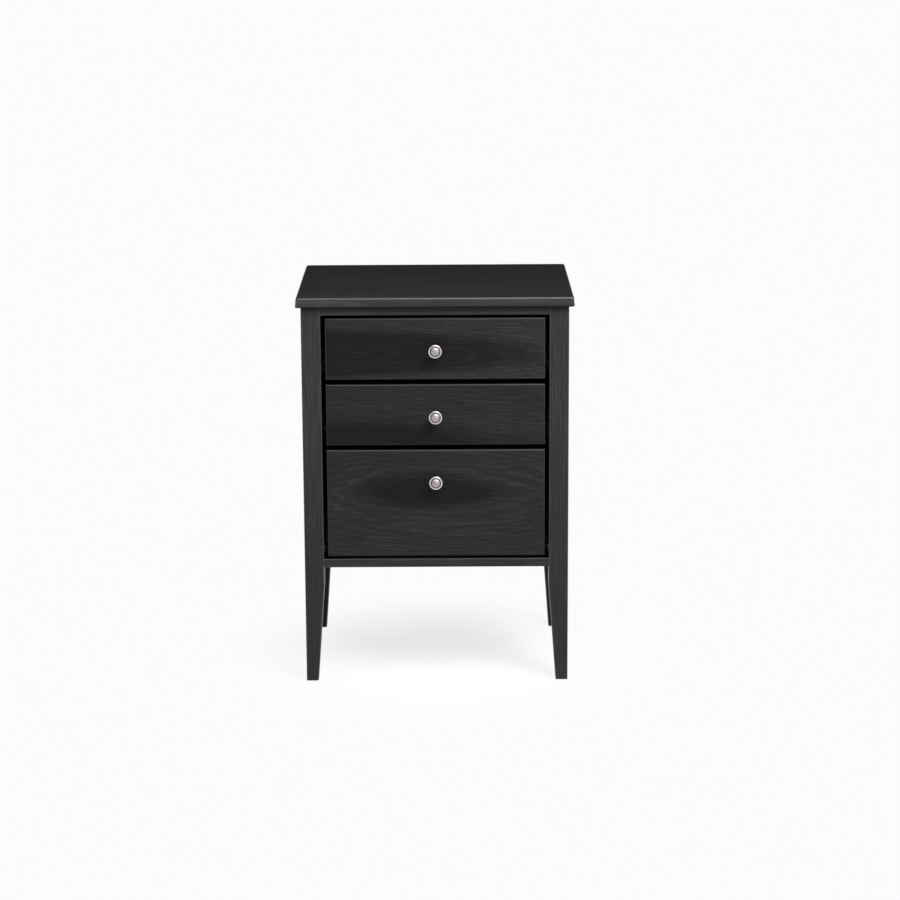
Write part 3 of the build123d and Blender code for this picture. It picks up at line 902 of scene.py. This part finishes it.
# %% Four plain finishes
SPECK_DEPTH = 0.0002
CLOUD_SHARE = 1 / 12
DULL = {"Specular IOR Level": 0.2}
HARDWARE = {
    "powder_coat": {
        "pale": grey(0.020),
        "dark": grey(0.014),
        "scale": 1400.0,
        "gloss": (0.42, 0.56),
        "relief": 0.25,
        "sockets": DULL,
    },
    "roller_nylon": {
        "pale": grey(0.018),
        "dark": grey(0.013),
        "scale": 300.0,
        "gloss": (0.44, 0.56),
        "relief": 0.06,
        "sockets": DULL,
    },
    "glide_nylon": {
        "pale": (0.05, 0.045, 0.04),
        "dark": (0.035, 0.032, 0.03),
        "scale": 400.0,
        "gloss": (0.4, 0.55),
        "relief": 0.1,
    },
    "zinc_plate": {
        "pale": grey(0.62),
        "dark": (0.50, 0.50, 0.47),
        "scale": 900.0,
        "gloss": (0.26, 0.42),
        "relief": 0.08,
        "sockets": {"Metallic": 1.0},
    },
}


def speckled(name, pale, dark, scale, gloss, relief, sockets=()):
    """A plain finish with a fine noise in its colour, gloss and relief."""
    material, bench = new_finish(name)
    place = bench.place()
    speck = bench.noise(place, scale, 3.0)
    cloud = bench.noise(place, scale * CLOUD_SHARE, 2.0)
    bump = {"Strength": relief, "Distance": SPECK_DEPTH, "Height": speck}
    looks = dict(sockets)
    looks["Base Color"] = bench.ramp(cloud, [(NOISE_SPAN[0], dark), (NOISE_SPAN[1], pale)])
    looks["Roughness"] = bench.remap(speck, NOISE_SPAN, gloss)
    looks["Normal"] = bench.add("Bump", bump).outputs[0]
    show(bench, looks)
    return material


hardware = {name: speckled(name, **values) for name, values in HARDWARE.items()}
print("hardware finishes:", ", ".join(hardware))

# %% [markdown]
# ## Handing out the hardware finishes
#
# Alike pieces come out of one bath or one mould, so all runners share one finish and all
# rollers another. A finish for each piece would only add to the file: their noises run in
# space, so two runners in different places still don't look like copies of each other.

# %% Finish the hardware
for level in LEVELS:
    for side in OUTWARD:
        dress(f"{level}_case_runner_{side}", hardware["powder_coat"])
        dress(f"{level}_box_runner_{side}", hardware["powder_coat"])
    dress(f"{level}_front_rollers", hardware["roller_nylon"])
    dress(f"{level}_rear_rollers", hardware["roller_nylon"])
    dress(f"{level}_knob_screw", hardware["zinc_plate"])
dress("foot_glides", hardware["glide_nylon"])
dress("top_screws", hardware["zinc_plate"])
print("hardware finished")

# %% [markdown]
# ## Screws
#
# Small screws hold the runners, the back and the drawer fronts. They could be bump in a
# material, but a screw head catches light on its rim and holds a shadow in its cross, so
# it is modelled: a circle and a cross are filled to a ring of faces, the cross is pushed
# in with tapered walls, and the rim is lofted down through a short profile.

# %% Loops and walls
RIM_POINTS = 24
ARM_WIDTH = 0.28


def cross_outline(arm):
    """The twelve corners of a cross, one quarter at a time."""
    half = arm * ARM_WIDTH
    quarter = [(arm, -half), (arm, half), (half, half)]
    points = []
    for turn in range(4):
        points += [Matrix.Rotation(turn * math.pi / 2, 2) @ Vector(point) for point in quarter]
    return points


def circle(radius):
    steps = [2 * math.pi * step / RIM_POINTS for step in range(RIM_POINTS)]
    return [Vector((radius * math.cos(a), radius * math.sin(a))) for a in steps]


def loop_of(shape, points, height, placing):
    verts = [shape.verts.new(placing @ Vector((*point, height))) for point in points]
    edges = [shape.edges.new(pair) for pair in zip(verts, verts[1:] + verts[:1])]
    return verts, edges


def walls(shape, upper, lower):
    """A band of faces between two loops of as many points."""
    for near, far in zip(range(len(upper)), [*range(1, len(upper)), 0]):
        shape.faces.new((upper[near], upper[far], lower[far], lower[near]))


print("a cross has", len(cross_outline(1.0)), "corners, a rim", RIM_POINTS, "points")

# %% [markdown]
# ## Sets of screws
#
# A driver leaves every screw turned by another angle, and a row of crosses that all stand
# alike looks stamped. Each screw could be an object that shares one mesh, but a set on one
# body moves as one, so it is simpler as one piece. Each screw in it gets a turn of its own.

# %% A cross-head screw in mesh code
CROSS_TAPER = 0.6
FIRST_SPIN, NEXT_SPIN = 0.7, 1.1


def add_screw(shape, placing, profile, arm, depth):
    """One screw head. The profile gives (radius, height) from the flat of the head outwards."""
    top_radius, top_height = profile[0]
    rim, rim_edges = loop_of(shape, circle(top_radius), top_height, placing)
    cross, cross_edges = loop_of(shape, cross_outline(arm), top_height, placing)
    bmesh.ops.triangle_fill(shape, edges=rim_edges + cross_edges, use_beauty=True)
    inner = [point * CROSS_TAPER for point in cross_outline(arm)]
    recess, _ = loop_of(shape, inner, top_height - depth, placing)
    walls(shape, cross, recess)
    shape.faces.new(recess)
    for radius, height in profile[1:]:
        lower, _ = loop_of(shape, circle(radius), height, placing)
        walls(shape, rim, lower)
        rim = lower
    shape.faces.new(rim)


def screws(name, body, places, facing, kind):
    """A set of like screws on one body, all facing one way."""
    shape = bmesh.new()
    turn = Vector(facing).to_track_quat("Z", "Y").to_matrix().to_4x4()
    for order, place in enumerate(places):
        spin = Matrix.Rotation(FIRST_SPIN + NEXT_SPIN * order, 4, "Z")
        add_screw(shape, Matrix.Translation(place) @ turn @ spin, **kind)
    bmesh.ops.recalc_face_normals(shape, faces=shape.faces)
    mesh = bpy.data.meshes.new(name)
    shape.to_mesh(mesh)
    shape.free()
    mesh.materials.append(hardware["zinc_plate"])
    piece = bpy.data.objects.new(name, mesh)
    bpy.context.scene.collection.objects.link(piece)
    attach(piece, body)
    print(name, "on", body, "with", len(places), "screws")


print("screw maker ready")

# %% [markdown]
# ## Screws in the runners
#
# Each runner has three countersunk holes: in its web where it lies on the case, and in its
# foot where it carries the box. A round head would stand in the way of the rollers and
# their studs. A flat head sits in the cone of the hole, so nothing stands out.

# %% Fill the runner holes
GAUGE = 0.0012
HOLE_STEP = 0.096
FOOT_HALF = 0.005
SUNK_SCREW = {
    "profile": [(0.0030, -0.00010), (0.0033, -0.00016), (0.00215, -0.00118)],
    "arm": 0.0019,
    "depth": 0.0006,
}


def hole_row(node, x, z):
    low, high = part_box(node)
    middle = (low.y + high.y) / 2
    return [Vector((x, middle + step * HOLE_STEP, z)) for step in (-1, 0, 1)]


def web_places(level, side, out):
    """The holes in the web of a case runner, on the face that looks into the cabinet."""
    runner = f"{level}_case_runner_{side}"
    low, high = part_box(runner)
    outer = low.x if out < 0 else high.x
    return hole_row(runner, outer - out * GAUGE, (low.z + high.z) / 2)


def foot_places(level, side, out):
    """The holes in the foot of a box runner, on its underside."""
    runner = f"{level}_box_runner_{side}"
    low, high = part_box(runner)
    inner_edge = high.x if out < 0 else low.x
    return hole_row(runner, inner_edge + out * FOOT_HALF, low.z)


for level in LEVELS:
    under_box = []
    for side, out in OUTWARD.items():
        name = f"{level}_runner_screws_{side}"
        screws(name, "case", web_places(level, side, out), (-out, 0, 0), SUNK_SCREW)
        under_box += foot_places(level, side, out)
    screws(f"{level}_foot_screws", f"{level}_drawer", under_box, (0, 0, -1), SUNK_SCREW)

# %% [markdown]
# ## Screws in the back
#
# The plywood back is screwed to the two rear rails. These heads stand proud, so their
# profile is a low dome. Their places could be spread evenly over the panel, but a screw
# needs wood behind it, so the rows follow the middles of the rails.

# %% Screw on the back
PAN_SCREW = {
    "profile": [(0.0022, 0.0022), (0.0031, 0.0018), (0.0036, 0.0010), (0.0037, 0.0)],
    "arm": 0.0019,
    "depth": 0.0012,
}
BACK_SCREW_STEP = 0.11
BACK_SCREW_ROW = (-1.5, -0.5, 0.5, 1.5)

back_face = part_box("back_panel")[1].y
back_places = []
for rail in ("top_rail_rear", "bottom_rail_rear"):
    low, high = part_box(rail)
    rail_height = (low.z + high.z) / 2
    back_places += [Vector((step * BACK_SCREW_STEP, back_face, rail_height)) for step in BACK_SCREW_ROW]
screws("back_screws", "case", back_places, (0, 1, 0), PAN_SCREW)

# %% [markdown]
# ## Screws behind the drawer fronts
#
# Each drawer front is pulled up to its box by four screws from inside. Their holes are
# bored wide, so that a front can be set straight before they are tightened, and a washer
# head covers such a hole. It is the same low dome, whose profile spreads into the washer.

# %% Screw on the drawer fronts
WASHER_SCREW = {
    "profile": [(0.0020, 0.0026), (0.0030, 0.0022), (0.0036, 0.0012), (0.0062, 0.0008), (0.0064, 0.0)],
    "arm": 0.0018,
    "depth": 0.0013,
}
FRONT_SCREW_OUT = 0.115
FRONT_SCREW_ROWS = (0.36, 0.74)


def front_screw_places(level):
    low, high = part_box(f"{level}_box_front")
    heights = [low.z + row * (high.z - low.z) for row in FRONT_SCREW_ROWS]
    return [Vector((out * FRONT_SCREW_OUT, high.y, z)) for out in OUTWARD.values() for z in heights]


for level in LEVELS:
    places = front_screw_places(level)
    screws(f"{level}_front_screws", f"{level}_drawer", places, (0, 1, 0), WASHER_SCREW)
